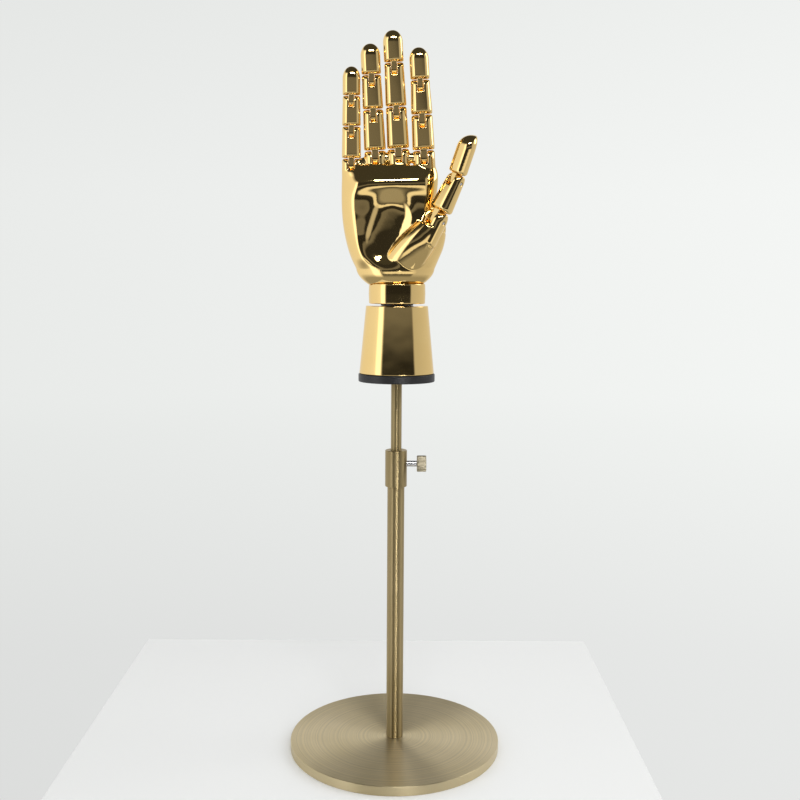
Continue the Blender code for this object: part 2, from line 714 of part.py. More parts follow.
def thenar_mound(thumb_pin):
    """The mound that carries the thumb, from the heel up to the thumb's lug."""
    foot = Vector(THENAR_FOOT) + Vector((0.0, 0.0, WRIST))
    head = thumb_pin.translation
    along = head - foot
    turn = Matrix.Rotation(THUMB_LEAN, 4, "Y")
    rows = []
    for share, half_width, half_depth in THENAR_STATIONS:
        centre = Matrix.Translation(foot + along * share) @ turn
        ring = []
        for across, depth, side in ring_shares(THENAR_COLUMNS):
            ring.append(centre @ Vector((half_width * across, side * half_depth * depth, 0.0)))
        rows.append(ring)
    return loft(rows)


def ring_shares(columns):
    """Shares of a round ring: across, depth and the side of it."""
    shares = section(columns, 2.0)
    front = [(across, depth, -1) for across, depth, end in shares]
    back = [(across, depth, 1) for across, depth, end in list(reversed(shares))[1:-1]]
    return front + back


def web_between(left_pin, right_pin):
    """A short round bar from one finger's lug to the next."""
    start = left_pin.translation
    along = right_pin.translation - start
    turn = along.to_track_quat("X", "Z").to_matrix().to_4x4()
    bar = rod_along_x(WEB_RADIUS, 0.0, along.length, 12)
    bmesh.ops.transform(bar, matrix=Matrix.Translation(start) @ turn, verts=bar.verts)
    return bar


def make_palm(fingers, thumb):
    rows = heel_rows()
    for index, station in enumerate(PALM_STATIONS):
        share = min(1.0, index / HEEL_BLEND_STATIONS)
        rows.append(palm_row(station, HEEL_POWER + (PALM_POWER - HEEL_POWER) * share))
    palm = object_from("palm", loft(rows), GOLD, upright(WRIST))

    lugs = []
    for finger, knuckles, place in fingers:
        first = knuckles[0]
        root = knuckled_bar(-LUG_ROOT, first.size, 0.0, first.size)
        lugs.append(cutter_from("palm_" + finger["name"] + "_lug", root, place))
    thumb_knuckles, thumb_pin = thumb
    root = knuckled_bar(-THUMB_ROOT, thumb_knuckles[0].size, 0.0, thumb_knuckles[0].size)
    lugs.append(cutter_from("palm_thumb_lug", root, thumb_pin))
    lugs.append(cutter_from("palm_thenar", thenar_mound(thumb_pin)))
    for (_, _, left_pin), (_, _, right_pin) in zip(fingers, fingers[1:]):
        lugs.append(cutter_from("palm_web", web_between(left_pin, right_pin)))
    combine(palm, lugs, "UNION")

    cuts = fork_cutters("palm_thumb", thumb_knuckles[0], thumb_pin)
    make_pin("thumb_knuckle_pin", thumb_knuckles[0], thumb_pin)
    for finger, knuckles, place in fingers:
        cuts += fork_cutters("palm_" + finger["name"], knuckles[0], place)
        make_pin(finger["name"] + "_knuckle_pin", knuckles[0], place)

    half_slot = STUD_EYE_THICKNESS / 2 + 2 * SEAT
    swing = HEEL_DEPTH * math.tan(WRIST_SWING) + STUD_DIAMETER / 2
    pocket = block((-half_slot, -swing, -2 * HEEL_DEPTH),
                   (half_slot, swing, STUD_EYE_RADIUS + 2 * SEAT))
    cuts.append(cutter_from("palm_wrist_pocket", pocket, upright(WRIST)))
    reach = WRIST_PIN_LENGTH / 2 + SEAT
    bore = rod_along_x(WRIST_PIN_DIAMETER / 2 + SEAT, -reach, reach)
    cuts.append(cutter_from("palm_wrist_pin_hole", bore, upright(WRIST)))
    combine(palm, cuts, "DIFFERENCE")


def make_fingers(fingers):
    for finger, knuckles, place in fingers:
        name = finger["name"]
        proximal, middle, distal = finger["lengths"]
        drops = [groove_drop(knuckle) for knuckle in knuckles]
        head = make_phalanx(name + "_proximal", knuckles[0], knuckles[1],
                            proximal + drops[0] - drops[1], place)
        head = make_phalanx(name + "_middle", knuckles[1], knuckles[2],
                            middle + drops[1] - drops[2], head)
        make_tip(name + "_distal", knuckles[2], distal + drops[2], TIP_DOME, TIP_SHIFT, head)


def make_thumb(thumb):
    knuckles, place = thumb
    drops = [groove_drop(knuckle) for knuckle in knuckles]
    head = make_phalanx("thumb_proximal", knuckles[0], knuckles[1],
                        THUMB_LENGTHS[0] + drops[0] - drops[1], place)
    bent = head @ Matrix.Rotation(THUMB_BEND, 4, "X")
    make_tip("thumb_distal", knuckles[1], THUMB_LENGTHS[1] + drops[1], THUMB_DOME,
             THUMB_TIP_SHIFT, bent)


make_foot()
make_clamp(make_post())
make_cuff(make_rod())
make_wrist()
FINGER_PLACES = finger_places()
THUMB_PLACE = thumb_place()
make_palm(FINGER_PLACES, THUMB_PLACE)
make_fingers(FINGER_PLACES)
make_thumb(THUMB_PLACE)
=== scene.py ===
# The looks of a jointed display hand for jewelry on a height-adjustable brass stand.
# Metres, +Z up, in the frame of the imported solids: the palm faces -Y, the thumb is at +X.

import math

import bmesh
import bpy
from mathutils import Matrix, Vector


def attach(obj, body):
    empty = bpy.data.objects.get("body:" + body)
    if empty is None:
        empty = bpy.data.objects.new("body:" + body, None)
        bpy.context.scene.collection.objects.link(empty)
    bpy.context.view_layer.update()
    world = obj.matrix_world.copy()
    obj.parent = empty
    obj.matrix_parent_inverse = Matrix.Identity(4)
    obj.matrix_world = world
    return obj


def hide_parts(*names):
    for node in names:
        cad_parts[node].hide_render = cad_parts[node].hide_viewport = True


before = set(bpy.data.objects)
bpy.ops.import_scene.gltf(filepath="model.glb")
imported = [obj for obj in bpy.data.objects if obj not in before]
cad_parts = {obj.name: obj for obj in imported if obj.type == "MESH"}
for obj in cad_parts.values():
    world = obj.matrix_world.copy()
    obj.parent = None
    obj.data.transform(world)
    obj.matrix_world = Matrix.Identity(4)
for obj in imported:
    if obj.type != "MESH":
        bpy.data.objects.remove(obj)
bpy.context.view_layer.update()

# Camera. It stands 0.95 m in front of the post at two thirds of the stand's height,
# looks down a little, and leans by a third of a degree.
camera = bpy.data.objects.new("camera", bpy.data.cameras.new("camera"))
bpy.context.scene.collection.objects.link(camera)
bpy.context.scene.camera = camera
camera.data.sensor_width = 36.0
camera.data.lens = 46.24
camera.data.clip_start = 0.05
camera_place = Matrix.Translation((0.0, -0.9464, 0.4587))
look_aside = Matrix.Rotation(-0.0035, 4, "Z")
look_down = Matrix.Rotation(math.radians(90 - 7.345), 4, "X")
camera_lean = Matrix.Rotation(0.0064, 4, "Z")
camera.matrix_world = camera_place @ look_aside @ look_down @ camera_lean


# Disc foot. A 9 mm brass plate, faced on a lathe, so that fine circular scratches cover
# its top. The edge is broken by a small round, and one screw from below holds the post.
def eased(corners, radius, steps=5):
    """A closed outline with each corner replaced by a small round."""
    outline = []
    count = len(corners)
    for index, corner in enumerate(corners):
        corner = Vector(corner)
        before = (Vector(corners[index - 1]) - corner)
        after = (Vector(corners[(index + 1) % count]) - corner)
        reach = min(radius, 0.45 * before.length, 0.45 * after.length)
        start = corner + before.normalized() * reach
        end = corner + after.normalized() * reach
        for step in range(steps + 1):
            share = step / steps
            point = start * (1 - share) ** 2 + corner * 2 * share * (1 - share) + end * share ** 2
            outline.append((point.x, point.y))
    return outline


def turned(name, outline, turns=192, oval=1.0):
    """A lathe-turned piece of a closed outline of (radius, height), oval if asked."""
    mesh_data = bmesh.new()
    rings = []
    for radius, height in outline:
        ring = []
        for step in range(turns):
            angle = 2 * math.pi * step / turns
            ring.append(mesh_data.verts.new((radius * math.cos(angle),
                                             radius * oval * math.sin(angle), height)))
        rings.append(ring)
    for lower, upper in zip(rings, rings[1:] + rings[:1]):
        for step in range(turns):
            after = (step + 1) % turns
            mesh_data.faces.new((lower[step], lower[after], upper[after], upper[step]))
    return shown(name, mesh_data)


def shown(name, mesh_data):
    """A new smooth-shaded piece of a mesh."""
    bmesh.ops.recalc_face_normals(mesh_data, faces=mesh_data.faces)
    mesh = bpy.data.meshes.new(name)
    mesh_data.to_mesh(mesh)
    mesh_data.free()
    mesh.shade_smooth()
    piece = bpy.data.objects.new(name, mesh)
    bpy.context.scene.collection.objects.link(piece)
    even = piece.modifiers.new("even shading", "WEIGHTED_NORMAL")
    even.weight = 100
    return piece


def fitted(piece, body, node, finish):
    """Gives a piece its finish and puts it on its body in place of the plain solid."""
    piece.data.materials.clear()
    piece.data.materials.append(finish)
    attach(piece, body)
    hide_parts(node)


def new_finish(name, metallic, roughness):
    """A material, its node tree and its Principled shader."""
    finish = bpy.data.materials.new(name)
    finish.use_nodes = True
    tree = finish.node_tree
    shader = tree.nodes["Principled BSDF"]
    shader.inputs["Metallic"].default_value = metallic
    shader.inputs["Roughness"].default_value = roughness
    return finish, tree, shader


def add_node(tree, kind, links=(), **settings):
    """A node with its settings, fed by (input, output socket) pairs."""
    node = tree.nodes.new(kind)
    for key, value in settings.items():
        setattr(node, key, value)
    for socket, source in links:
        tree.links.new(source, node.inputs[socket])
    return node


def cloudy(tree, place, scale, detail):
    """Soft noise all over a piece."""
    noise = add_node(tree, "ShaderNodeTexNoise", [("Vector", place)])
    noise.inputs["Scale"].default_value = scale
    noise.inputs["Detail"].default_value = detail
    return noise.outputs["Fac"]


def stretched(tree, source, low, high, new_low=0.0, new_high=1.0):
    """A value whose range is stretched onto another."""
    span = add_node(tree, "ShaderNodeMapRange", [("Value", source)])
    span.inputs["From Min"].default_value = low
    span.inputs["From Max"].default_value = high
    span.inputs["To Min"].default_value = new_low
    span.inputs["To Max"].default_value = new_high
    return span.outputs[0]


def mottled(tree, share, dark, pale):
    """A colour between two others."""
    mix = add_node(tree, "ShaderNodeMix", [(0, share)], data_type="RGBA")
    mix.inputs[6].default_value = (*dark, 1.0)
    mix.inputs[7].default_value = (*pale, 1.0)
    return mix.outputs[2]


def relief(tree, shader, height, strength, depth):
    """Fine unevenness of a surface."""
    bump = add_node(tree, "ShaderNodeBump", [("Height", height)])
    bump.inputs["Strength"].default_value = strength
    bump.inputs["Distance"].default_value = depth
    tree.links.new(bump.outputs[0], shader.inputs["Normal"])


def lathe_scratches(tree, around_post, lines_per_metre=1400.0):
    """Fine circular scratches: noise along the radius on a face, along Z on a tube."""
    place = add_node(tree, "ShaderNodeTexCoord").outputs["Object"]
    parts = add_node(tree, "ShaderNodeSeparateXYZ", [(0, place)])
    if around_post:
        along = parts.outputs["Z"]
    else:
        flat = add_node(tree, "ShaderNodeCombineXYZ",
                        [(0, parts.outputs["X"]), (1, parts.outputs["Y"])])
        along = add_node(tree, "ShaderNodeVectorMath", [(0, flat.outputs[0])],
                         operation="LENGTH").outputs["Value"]
    noise = add_node(tree, "ShaderNodeTexNoise", [("W", along)], noise_dimensions="1D")
    noise.inputs["Scale"].default_value = lines_per_metre
    noise.inputs["Detail"].default_value = 4.0
    noise.inputs["Roughness"].default_value = 0.7
    return place, noise.outputs["Fac"]


def brushed_brass(name, around_post, pale, dark, roughness, scratch_depth, tarnish_scale,
                  lines_per_metre, grain):
    """Brushed, lacquered brass: circular scratches and faint cloudy tarnish."""
    finish, tree, shader = new_finish(name, 1.0, roughness)
    place, scratches = lathe_scratches(tree, around_post, lines_per_metre)
    tarnish = stretched(tree, cloudy(tree, place, tarnish_scale, 5.0), 0.3, 0.7)
    colour = mottled(tree, tarnish, dark, pale)
    groove = stretched(tree, scratches, 0.3, 0.7, 1.0 - 1.6 * scratch_depth, 1.0)
    lined = add_node(tree, "ShaderNodeVectorMath", [(0, colour), ("Scale", groove)],
                     operation="SCALE")
    tree.links.new(lined.outputs[0], shader.inputs["Base Color"])
    worn = stretched(tree, scratches, 0.25, 0.75, roughness - 0.4 * scratch_depth,
                     roughness + 0.4 * scratch_depth)
    tree.links.new(worn, shader.inputs["Roughness"])
    relief(tree, shader, scratches, scratch_depth, 0.0002)
    tangent = add_node(tree, "ShaderNodeTangent", direction_type="RADIAL", axis="Z")
    tree.links.new(tangent.outputs[0], shader.inputs["Tangent"])
    shader.inputs["Anisotropic"].default_value = grain
    shader.inputs["Anisotropic Rotation"].default_value = 0.25
    return finish


disc_radius = 0.100
disc_height = 0.009
disc_bore = 0.0043
# Painted light: the disc's brass is the post's brass, painted lighter.
disc_brass_painted_light = brushed_brass("disc_brass_painted_light", False, (0.80, 0.68, 0.44), (0.67, 0.56, 0.33),
                           0.42, 0.16, 14.0, 480.0, 0.86)
disc_corners = [(disc_bore, 0.0), (disc_radius, 0.0), (disc_radius, disc_height),
                (disc_bore, disc_height)]
disc = turned("disc", eased(disc_corners, 0.0009), turns=256)
fitted(disc, "stand", "base_plate", disc_brass_painted_light)


# Base screw and foot plug. A steel screw comes up through the disc into a threaded steel
# plug in the foot of the tube, and pulls the tube down onto the disc.
def machined_steel(name, roughness):
    """Bright turned steel with faint tool marks."""
    finish, tree, shader = new_finish(name, 1.0, roughness)
    scratches = lathe_scratches(tree, True)[1]
    shade = mottled(tree, scratches, (0.52, 0.52, 0.54), (0.70, 0.70, 0.71))
    tree.links.new(shade, shader.inputs["Base Color"])
    relief(tree, shader, scratches, 0.06, 0.0001)
    return finish


def finish_node(node, finish):
    """Gives a solid whose shape is right its finish."""
    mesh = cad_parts[node].data
    mesh.materials.clear()
    mesh.materials.append(finish)


steel = machined_steel("turned_steel", 0.22)
finish_node("base_screw", steel)
finish_node("foot_plug", steel)

# Outer tube. A 16 mm brass tube, brushed round and lacquered, stands in the middle of the
# disc. Its upper end is inside the collar.
tube_foot = 0.0093
tube_top = tube_foot + 0.259
tube_radius = 0.008
tube_bore = 0.0065
# Painted shade: the tube, collar and rod carry the same brass as the disc, painted darker.
post_brass_painted_shade = brushed_brass("post_brass_painted_shade", True, (0.46, 0.36, 0.19), (0.40, 0.31, 0.15),
                           0.44, 0.03, 22.0, 1400.0, 0.97)
tube_corners = [(tube_bore, tube_foot), (tube_radius, tube_foot), (tube_radius, tube_top),
                (tube_bore, tube_top)]
tube = turned("tube", eased(tube_corners, 0.0003, 3), turns=96)
fitted(tube, "stand", "outer_tube", post_brass_painted_shade)

# Collar. A turned brass sleeve over the top of the tube, with a bore for the rod and a
# threaded side hole for the clamp screw.
collar_radius = 0.0102
collar_foot = 0.2554
collar_top = 0.2896
collar_bore = 0.0083
rod_bore = 0.0053
seat = 0.0003
clamp_height = 0.2768
collar_corners = [(collar_bore, collar_foot), (collar_radius, collar_foot),
                  (collar_radius, collar_top), (rod_bore, collar_top),
                  (rod_bore, tube_top + seat), (collar_bore, tube_top + seat)]
collar = turned("collar", eased(collar_corners, 0.0006), turns=96)
fitted(collar, "stand", "collar", post_brass_painted_shade)

# Clamp screw. A plated steel shank with a knurled brass head, on the thumb's side. It
# goes through the collar and presses on the rod.
shank_radius = 0.0028
shank_tip = 0.0054
shank_end = 0.0252
shank_centre = 0.0001
knob_foot = 0.0194
knob_end = 0.0282
knob_radius = 0.0076
knob_socket = 0.0031
knob_centre = 0.0003
knob_easing = 0.0009
knurl_ridges = 40
knurl_depth = 0.00035
lie_along_x = Matrix.Translation((0, 0, clamp_height)) @ Matrix.Rotation(math.radians(90), 4, "Y")


def laid(outline_piece):
    """Turns a piece that was made about Z onto the clamp screw's axis."""
    outline_piece.data.transform(lie_along_x)
    return outline_piece


shank_corners = [(shank_centre, shank_tip), (shank_radius, shank_tip),
                 (shank_radius, shank_end), (shank_centre, shank_end)]
shank = laid(turned("clamp_shank_bright", eased(shank_corners, 0.0004, 3), turns=48))
fitted(shank, "clamp_screw", "clamp_shank", steel)

knob_corners = [(knob_socket, knob_foot), (knob_radius, knob_foot), (knob_radius, knob_end),
                (knob_centre, knob_end), (knob_centre, shank_end + seat),
                (knob_socket, shank_end + seat)]
knob = turned("knob", eased(knob_corners, knob_easing, 4), turns=6 * knurl_ridges)
for vertex in knob.data.vertices:
    reach = math.hypot(vertex.co.x, vertex.co.y)
    if reach > knob_radius - knob_easing:
        wave = 0.5 + 0.5 * math.cos(knurl_ridges * math.atan2(vertex.co.y, vertex.co.x))
        share = 1 - knurl_depth * (1 - wave) / reach
        vertex.co.x *= share
        vertex.co.y *= share
laid(knob)
knob_brass = brushed_brass("knob_brass", True, (0.56, 0.50, 0.36), (0.48, 0.42, 0.30),
                           0.34, 0.03, 60.0, 1400.0, 0.97)
fitted(knob, "clamp_screw", "clamp_knob", knob_brass)


# Guide bush. A white nylon cup on the rod's lower end, which keeps the rod in the middle
# of the tube as it slides.
def moulded(name, pale, dark, roughness, grain):
    """Moulded plastic with a faint grain."""
    finish, tree, shader = new_finish(name, 0.0, roughness)
    place = add_node(tree, "ShaderNodeTexCoord").outputs["Object"]
    specks = cloudy(tree, place, grain, 3.0)
    tree.links.new(mottled(tree, specks, dark, pale), shader.inputs["Base Color"])
    relief(tree, shader, specks, 0.15, 0.0002)
    return finish


nylon = moulded("natural_nylon", (0.82, 0.82, 0.79), (0.74, 0.74, 0.71), 0.5, 900.0)
finish_node("rod_bush", nylon)

# Inner rod. A 10 mm solid brass rod, brushed like the tube, slides and turns in the
# collar. Its turned-down upper end screws into the insert in the cap.
rod_radius = 0.005
rod_foot = 0.0996
rod_shoulder = 0.3665
spigot_radius = 0.004
rod_top = 0.3828
rod_centre = 0.0002
rod_corners = [(rod_centre, rod_foot), (rod_radius, rod_foot), (rod_radius, rod_shoulder),
               (spigot_radius, rod_shoulder), (spigot_radius, rod_top), (rod_centre, rod_top)]
rod = turned("rod", eased(rod_corners, 0.0004, 3), turns=72)
fitted(rod, "rod", "inner_rod", post_brass_painted_shade)

# Cap. A black moulded oval cap closes the wide end of the cuff, and a threaded steel
# insert in its boss holds the rod.
oval_ratio = 0.78
cap_radius = 0.0353
cap_foot = 0.3542
cap_top = cap_foot + 0.0073
plug_radius = 0.0304
plug_top = cap_top + 0.005
cap_bore = 0.0068
boss_radius = 0.0110
boss_bore = 0.0090
boss_top = cap_foot + 0.030
cap_corners = [(cap_bore, cap_foot), (cap_radius, cap_foot), (cap_radius, cap_top),
               (plug_radius, cap_top), (plug_radius, plug_top), (boss_radius, plug_top),
               (boss_radius, boss_top), (boss_bore, boss_top)]
cap = turned("cap", eased(cap_corners, 0.0010), turns=160, oval=oval_ratio)
black = moulded("black_plastic", (0.016, 0.015, 0.016), (0.008, 0.008, 0.009), 0.38, 700.0)
fitted(cap, "rod", "cuff_cap", black)
finish_node("cap_insert", steel)


# Cuff. A tapered oval shell, moulded and plated to a mirror gold. It stands on the cap,
# and its roof carries the wrist.
def plated_gold(name):
    """Mirror gold plating on moulded plastic: faint ripples and a little haze."""
    finish, tree, shader = new_finish(name, 1.0, 0.05)
    place = add_node(tree, "ShaderNodeTexCoord").outputs["Object"]
    haze = cloudy(tree, place, 60.0, 4.0)
    tree.links.new(stretched(tree, haze, 0.35, 0.75, 0.035, 0.085), shader.inputs["Roughness"])
    colour = mottled(tree, haze, (0.92, 0.65, 0.26), (0.94, 0.69, 0.30))
    tree.links.new(colour, shader.inputs["Base Color"])
    relief(tree, shader, cloudy(tree, place, 45.0, 1.0), 0.12, 0.0008)
    return finish


gold = plated_gold("plated_gold")
cuff_foot = 0.3618
cuff_top = 0.4240
cuff_foot_radius = 0.0345
cuff_top_radius = 0.0285
cuff_foot_bore = 0.0315
cuff_top_bore = 0.0260
cuff_roof = cuff_top - 0.004
stud_bore = 0.0048
cuff_corners = [(cuff_foot_bore, cuff_foot), (cuff_foot_radius, cuff_foot),
                (cuff_top_radius, cuff_top), (stud_bore, cuff_top), (stud_bore, cuff_roof),
                (cuff_top_bore, cuff_roof)]
cuff = turned("cuff_shell", eased(cuff_corners, 0.0008), oval=oval_ratio)
fitted(cuff, "rod", "cuff", gold)

# Wrist. A gold ring turns on a washer on the cuff's roof; the washer's black is painted
# shade in the gap under the ring. A steel stud through both ends in an eye, which holds
# the pin on which the palm rocks in the ring's dish.
# The washer takes the cap's black as painted shade under the ring.
finish_node("wrist_washer", black)
finish_node("wrist_stud", steel)
finish_node("wrist_pin", steel)

wrist = 0.4573
ring_foot = 0.4259
ring_top = 0.4441
ring_radius = 0.02575
ring_middle_radius = 0.02605
ring_bore = 0.0043
heel_radius = 0.0220
heel_left = 0.0374
heel_right = 0.0340
heel_power = 1.7
dish_gap = 0.0005


def oval_point(angle, power):
    """Shares across and in depth of a squared oval at an angle from +X over the front."""
    across = math.copysign(abs(math.cos(angle)) ** (2 / power), math.cos(angle))
    depth = math.copysign(abs(math.sin(angle)) ** (2 / power), math.sin(angle))
    return across, depth


def ring_of(height, lift, half_width, half_depth, power, columns, middle=0.0, shift=0.0,
            end_power=None, rounding=None):
    """One ring of points of a bar, turned by a lift angle about the X axis."""
    points = []
    reach = half_depth if rounding is None else rounding
    for step in range(columns):
        across, depth = oval_point(2 * math.pi * step / columns, power)
        end = abs(depth)
        if end_power and end > 1e-6:
            end = (1 - abs(across) ** end_power) ** (1 / end_power)
        points.append((middle + half_width * across,
                       shift - half_depth * depth * math.cos(lift),
                       height + reach * end * math.sin(lift)))
    return points


def skinned(rings):
    """A closed body through rings of points; an end that isn't a mere line gets a fan."""
    body = bmesh.new()
    rows = [[body.verts.new(point) for point in ring] for ring in rings]
    count = len(rows[0])
    for lower, upper in zip(rows, rows[1:]):
        for step in range(count):
            after = (step + 1) % count
            body.faces.new((lower[step], lower[after], upper[after], upper[step]))
    for row in (rows[0], rows[-1]):
        places = {tuple(round(value, 6) for value in vertex.co) for vertex in row}
        if len(places) <= count // 2 + 1:
            continue
        middle = sum((vertex.co for vertex in row), Vector()) / count
        tip = body.verts.new(middle)
        for step in range(count):
            body.faces.new((row[step], row[(step + 1) % count], tip))
    bmesh.ops.remove_doubles(body, verts=body.verts, dist=1e-6)
    bmesh.ops.dissolve_degenerate(body, dist=1e-6, edges=body.edges)
    bmesh.ops.recalc_face_normals(body, faces=body.faces)
    return body


def tool(name, body, place):
    """A hidden body that is joined to a casting or cut from it."""
    mesh = bpy.data.meshes.new(name)
    body.to_mesh(mesh)
    body.free()
    mesh.transform(place)
    made = bpy.data.objects.new(name, mesh)
    bpy.context.scene.collection.objects.link(made)
    return made


def combine(piece, tools, operation):
    """Joins bodies to a piece or cuts them from it."""
    group = bpy.data.collections.new(piece.name + "_" + operation.lower())
    for other in tools:
        group.objects.link(other)
    step = piece.modifiers.new(operation.lower(), "BOOLEAN")
    step.operation = operation
    step.operand_type = "COLLECTION"
    step.collection = group
    step.solver = "EXACT"


def kept(piece):
    """Turns a piece's modifiers into its mesh."""
    bpy.context.view_layer.update()
    graph = bpy.context.evaluated_depsgraph_get()
    mesh = bpy.data.meshes.new_from_object(piece.evaluated_get(graph))
    piece.modifiers.clear()
    piece.data = mesh
    piece.data.name = piece.name


def softened(piece, grain, passes):
    """Softens every edge of a piece, as thick plating does."""
    soften = piece.modifiers.new("soften", "REMESH")
    soften.mode = "VOXEL"
    soften.voxel_size = grain
    smooth = piece.modifiers.new("smooth", "SMOOTH")
    smooth.factor = 0.5
    smooth.iterations = passes
    kept(piece)
    piece.data.shade_smooth()


def cast(name, body, place, joined, cut, grain, passes):
    """A moulded piece: bodies joined and cut, then every edge softened as plating does."""
    piece = tool(name, body, place)
    if joined:
        combine(piece, joined, "UNION")
    combine(piece, cut, "DIFFERENCE")
    kept(piece)
    for other in joined + cut:
        bpy.data.objects.remove(other)
    softened(piece, grain, passes)
    return piece


def heel_rings(extra, turn_end, columns, count):
    """The palm's round heel about the wrist pin, from the bottom up to a turn."""
    middle = (heel_right - heel_left) / 2
    half_width = (heel_left + heel_right) / 2 + extra
    rings = []
    for step in range(count):
        lift = math.radians(-90 + turn_end * step / count)
        rings.append(ring_of(0.0, lift, half_width, heel_radius + extra, heel_power, columns,
                             middle))
    return rings


upright = Matrix.Translation((0, 0, wrist))
ring_corners = [(ring_bore, ring_foot), (ring_radius, ring_foot),
                (ring_middle_radius, (ring_foot + ring_top) / 2), (ring_radius, ring_top),
                (ring_bore, ring_top)]
ring_blank = turned("wrist_ring_shell", eased(ring_corners, 0.0007), turns=160, oval=oval_ratio)
ring_blank.modifiers.clear()
dish = tool("ring_dish", skinned(heel_rings(dish_gap, 180, 96, 48)), upright)
combine(ring_blank, [dish], "DIFFERENCE")
kept(ring_blank)
bpy.data.objects.remove(dish)
softened(ring_blank, 0.0004, 6)
fitted(ring_blank, "wrist", "wrist_ring", gold)

# Palm. One plated moulding: a round heel that rocks in the ring, a thumb mound, a hollow,
# and a forked lug for each finger and for the thumb. Steel pins go through the forks.
palm_power = 2.5
# height above the wrist pin, left reach, right reach, front depth, back depth
palm_stations = (
    (0.0000, 0.0374, 0.0340, 0.0220, 0.0220),
    (0.0090, 0.0418, 0.0378, 0.0215, 0.0205),
    (0.0190, 0.0452, 0.0418, 0.0200, 0.0185),
    (0.0310, 0.0480, 0.0440, 0.0176, 0.0165),
    (0.0420, 0.0497, 0.0430, 0.0162, 0.0152),
    (0.0500, 0.0504, 0.0350, 0.0154, 0.0146),
    (0.0570, 0.0507, 0.0332, 0.0148, 0.0141),
    (0.0670, 0.0508, 0.0352, 0.0142, 0.0136),
    (0.0780, 0.0506, 0.0364, 0.0136, 0.0130),
    (0.0860, 0.0500, 0.0360, 0.0116, 0.0116),
    (0.0925, 0.0480, 0.0338, 0.0080, 0.0085),
)
# swellings of the palm's face: from (x, height), to (x, height), width, rise, sharpness
palm_swells = (
    ((-0.036, 0.010), (-0.040, 0.066), 0.0100, 0.0030, 2),
    ((-0.034, 0.0745), (0.024, 0.0765), 0.0080, 0.0030, 2),
    ((-0.013, 0.022), (-0.005, 0.048), 0.0165, -0.0060, 4),
)
# thenar mound: its foot, and its stations as shares of the way to the thumb's pin, with
# the half width and half depth of each
thenar_foot = (0.001, -0.0110, 0.001)
thenar_stations = (
    (0.00, 0.0150, 0.0085),
    (0.12, 0.0162, 0.0107),
    (0.30, 0.0166, 0.0128),
    (0.50, 0.0158, 0.0138),
    (0.70, 0.0140, 0.0130),
    (0.86, 0.0122, 0.0116),
)
web_radius = 0.0045
lug_root = 0.022
thumb_lug_root = 0.024
knuckle_gap = 0.0004
pin_radius = 0.0012
tongue_share = 0.30
tongue_radius_share = 0.64
finger_depth_ratio = 0.74
finger_power = 2.3
end_power = 9.0
foot_round_share = 0.40
slot_gap = 0.00014


def between(stations, height):
    """The station at a height, on a smooth curve through the given ones."""
    for index in range(len(stations) - 1):
        if stations[index + 1][0] >= height:
            break
    low = stations[index]
    high = stations[index + 1]
    before = stations[max(index - 1, 0)]
    after = stations[min(index + 2, len(stations) - 1)]
    span = high[0] - low[0]
    share = (height - low[0]) / span
    values = []
    for column in range(1, len(low)):
        slope_low = (high[column] - before[column]) / (high[0] - before[0]) * span
        slope_high = (after[column] - low[column]) / (after[0] - low[0]) * span
        square = share * share
        cube = square * share
        values.append((2 * cube - 3 * square + 1) * low[column]
                      + (cube - 2 * square + share) * slope_low
                      + (3 * square - 2 * cube) * high[column] + (cube - square) * slope_high)
    return values


def swell(x, height):
    """How far the palm's face rises here beyond its plain depth."""
    rise = 0.0
    for start, end, width, amount, sharpness in palm_swells:
        along = Vector(end) - Vector(start)
        offset = Vector((x, height)) - Vector(start)
        share = max(0.0, min(1.0, offset.dot(along) / along.length_squared))
        distance = (offset - along * share).length
        rise += amount * math.exp(-(distance / width) ** sharpness)
    return rise


def palm_ring(height, columns):
    """One level ring of the palm."""
    left, right, front, back = between(palm_stations, height)
    power = heel_power + (palm_power - heel_power) * min(1.0, height / 0.030)
    points = []
    for step in range(columns):
        across, depth = oval_point(2 * math.pi * step / columns, power)
        x = (right - left) / 2 + (right + left) / 2 * across
        reach = (front + swell(x, height)) * depth if depth > 0 else back * depth
        points.append((x, -reach, height))
    return points


def foot_rings(foot, size, columns, count):
    """The lower end of a bar, flatter than its head."""
    rounding = size[1] * foot_round_share
    rings = []
    for step in range(count + 1):
        lift = math.radians(-90 + 90 * step / count)
        rings.append(ring_of(foot + rounding, lift, *size, finger_power, columns,
                             end_power=end_power, rounding=rounding))
    return rings


def knuckled_bar(foot, foot_size, head, head_size, columns=72, count=14):
    """A bar whose head is round about the X axis. A size is (half width, half depth)."""
    rings = foot_rings(foot, foot_size, columns, count)
    for step in range(count + 1):
        lift = math.radians(90 * step / count)
        rings.append(ring_of(head, lift, *head_size, finger_power, columns,
                             end_power=end_power))
    return skinned(rings)


def box_body(low, high):
    """A box between two corners."""
    body = bmesh.new()
    bmesh.ops.create_cube(body, size=1.0)
    for vertex in body.verts:
        vertex.co = [low[axis] if vertex.co[axis] < 0 else high[axis] for axis in range(3)]
    return body


def bar_along_x(radius, reach, turns=32):
    """A round bar about the X axis."""
    rings = []
    for x in (-reach, reach):
        rings.append([(x, radius * math.cos(2 * math.pi * step / turns),
                       radius * math.sin(2 * math.pi * step / turns)) for step in range(turns)])
    return skinned(rings)


def knuckle(width):
    """Half width and radius of a knuckle."""
    return width / 2, width * finger_depth_ratio / 2


def fork_tools(name, size, place):
    """The slot and pin hole in the upper end of a piece."""
    half_slot = size[0] * tongue_share + slot_gap
    tongue_radius = size[1] * tongue_radius_share
    slot = box_body((-half_slot, -0.03, -tongue_radius - seat), (half_slot, 0.03, 0.03))
    hole = bar_along_x(pin_radius + seat, size[0] + 0.001)
    return [tool(name + "_slot", slot, place), tool(name + "_hole", hole, place)]


def groove_drop(size):
    """From the groove between two pieces down to the pin of their hinge."""
    return size[1] + knuckle_gap / 2


